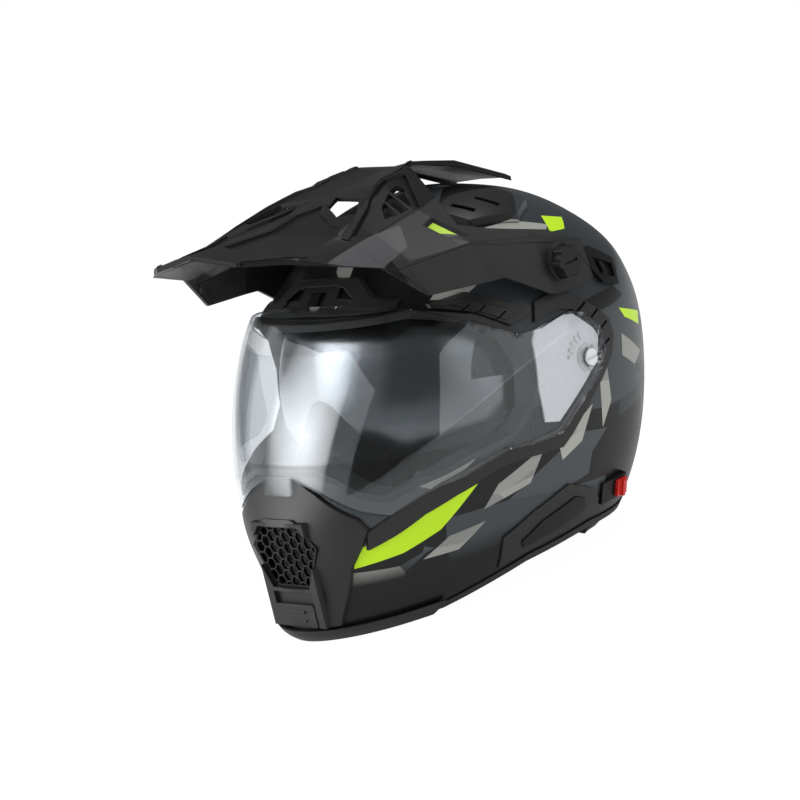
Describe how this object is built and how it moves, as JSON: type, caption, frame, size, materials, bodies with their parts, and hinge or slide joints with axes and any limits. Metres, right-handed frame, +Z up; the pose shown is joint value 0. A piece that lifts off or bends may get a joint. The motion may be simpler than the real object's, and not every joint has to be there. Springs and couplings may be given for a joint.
{
  "type": "full-face helmet",
  "caption": "Full-face helmet for road and trail with a tilting peak, clear hinged shield, inner sun visor, vents with sliders, padded liner and strap with ratchet buckle",
  "frame": {"origin": "centre of the bounding box, on the surface that the helmet stands on", "axes": "+Z up, the helmet faces -Y, the wearer's left is +X"},
  "size_m": [0.2808, 0.3464, 0.2879],
  "materials": {
    "shell": "satin camouflage paint",
    "trim": "satin",
    "dark": "satin",
    "red": "gloss",
    "clear": "gloss",
    "tint": "gloss",
    "rubber": "matt",
    "foam": "expanded foam",
    "lining": "brushed fabric",
    "webbing": "woven",
    "steel": "brushed"
  },
  "bodies": {
    "helmet": {"outer_shell": "shell", "eps_liner": "foam", "comfort_liner": "lining", "neck_roll": "lining", "neck_trim": "rubber", "eye_port_gasket": "rubber", "chin_guard": "trim", "chin_grille": "dark", "chin_lip": "trim", "brow_vent": "trim", "buckle_base": "steel", "buckle_tongue": "steel", "visor_lever_base": "dark", "cheek_pad_left": "lining", "cheek_pad_right": "lining", "visor_pin_left": "dark", "visor_pin_right": "dark", "side_trim_left": "trim", "side_trim_right": "trim", "pivot_plate_left": "dark", "pivot_plate_right": "dark", "pivot_button_left": "dark", "pivot_button_right": "dark", "brow_panel_left": "trim", "brow_panel_right": "trim", "comms_surround_left": "trim", "comms_surround_right": "trim", "comms_cover_left": "dark", "comms_cover_right": "dark", "crown_vent_left": "shell", "crown_vent_right": "shell", "rear_exhaust_left": "dark", "rear_exhaust_right": "dark", "peak_boss_left": "dark", "peak_boss_right": "dark", "strap_anchor_left": "steel", "strap_anchor_right": "steel", "chin_strap_left": "webbing", "chin_strap_right": "webbing"},
    "clear_shield": {"shield": "clear", "anti_fog_pane": "clear", "latch_tab": "clear"},
    "inner_sun_visor": {"sun_visor": "tint"},
    "sun_visor_lever": {"visor_lever": "red"},
    "peak": {"peak_shell": "shell", "peak_arm_left": "trim", "peak_arm_right": "trim"},
    "left_peak_knob": {"peak_knob_left": "dark"},
    "right_peak_knob": {"peak_knob_right": "dark"},
    "chin_vent_shutter": {"chin_shutter": "trim"},
    "brow_slider": {"brow_vent_slider": "dark"},
    "left_exhaust_slider": {"exhaust_slider_left": "dark"},
    "right_exhaust_slider": {"exhaust_slider_right": "dark"},
    "release_lever": {"buckle_lever": "red"}
  },
  "joints": [
    {"name": "shield_hinge", "type": "hinge", "parent": "helmet", "child": "clear_shield", "pos_m": [0, 0.033, 0.13992], "axis": [-1, 0, 0], "range_deg": [0, 44]},
    {"name": "sun_visor_hinge", "type": "hinge", "parent": "helmet", "child": "inner_sun_visor", "pos_m": [0, 0.02304, 0.13002], "axis": [-1, 0, 0], "range_deg": [0, 36]},
    {"name": "sun_visor_lever_slide", "type": "slide", "parent": "helmet", "child": "sun_visor_lever", "axis": [0, -1, 0], "range_m": [0, 0.012]},
    {"name": "peak_tilt", "type": "hinge", "parent": "helmet", "child": "peak", "pos_m": [0, 0.02736, 0.20803], "axis": [-1, 0, 0], "range_deg": [0, 3]},
    {"name": "left_knob_turn", "type": "hinge", "parent": "helmet", "child": "left_peak_knob", "pos_m": [0.13, 0.02736, 0.20803], "axis": [1, 0, 0], "continuous": true},
    {"name": "right_knob_turn", "type": "hinge", "parent": "helmet", "child": "right_peak_knob", "pos_m": [-0.13, 0.02736, 0.20803], "axis": [-1, 0, 0], "continuous": true},
    {"name": "chin_shutter_slide", "type": "slide", "parent": "helmet", "child": "chin_vent_shutter", "axis": [0, 0, 1], "range_m": [0, 0.008]},
    {"name": "brow_slider_slide", "type": "slide", "parent": "helmet", "child": "brow_slider", "axis": [0, 0.7239, 0.6899], "range_m": [0, 0.003]},
    {"name": "left_exhaust_slide", "type": "slide", "parent": "helmet", "child": "left_exhaust_slider", "axis": [-0.0598, 0.9503, -0.3054], "range_m": [0, 0.006]},
    {"name": "right_exhaust_slide", "type": "slide", "parent": "helmet", "child": "right_exhaust_slider", "axis": [0.0598, 0.9503, -0.3054], "range_m": [0, 0.006]},
    {"name": "release_lever_hinge", "type": "hinge", "parent": "helmet", "child": "release_lever", "pos_m": [-0.016, 0.03526, 0.0049], "axis": [0, 1, 0], "range_deg": [0, 50], "stiffness_Nm_per_rad": 0.05, "springref_deg": -17.19}
  ],
  "couplings": [
    {"joint": "sun_visor_lever_slide", "follows": "sun_visor_hinge", "m_per_rad": 0.019}
  ]
}
